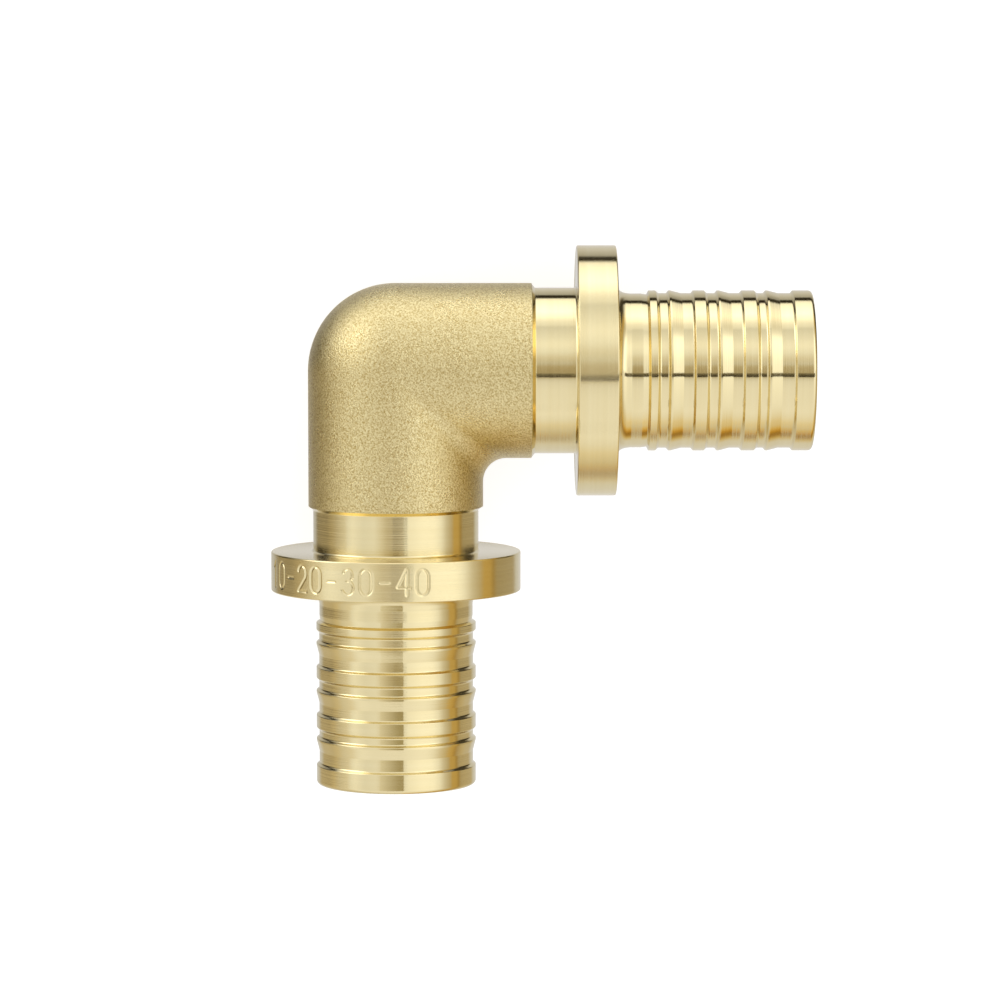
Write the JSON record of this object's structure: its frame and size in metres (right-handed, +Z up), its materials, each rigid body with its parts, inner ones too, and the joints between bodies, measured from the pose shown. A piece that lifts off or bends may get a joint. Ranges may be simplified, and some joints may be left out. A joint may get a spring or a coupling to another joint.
{
  "type": "pex pipe elbow",
  "caption": "Brass 90 degree elbow for cross-linked polyethylene pipe: forged bend, turned flanges that stop the sliding sleeves, and ribbed spigots.",
  "frame": {"origin": "on the floor, under the middle of the elbow's box as it lies", "axes": "+Z up; +X along the bend's diagonal, from the outer corner towards the open side; +Y along its width, spigot a on the +Y side and spigot b on the -Y side; the plane of the two arms rises towards +X by 15.85 degrees, because the elbow lies on its two flanges and its corner"},
  "size_m": [0.0546, 0.0894, 0.0323],
  "materials": {
    "brass": "blasted forging on the bend, fine turned on necks, flanges and spigots"
  },
  "bodies": {
    "root": {"elbow": "brass"}
  },
  "joints": []
}
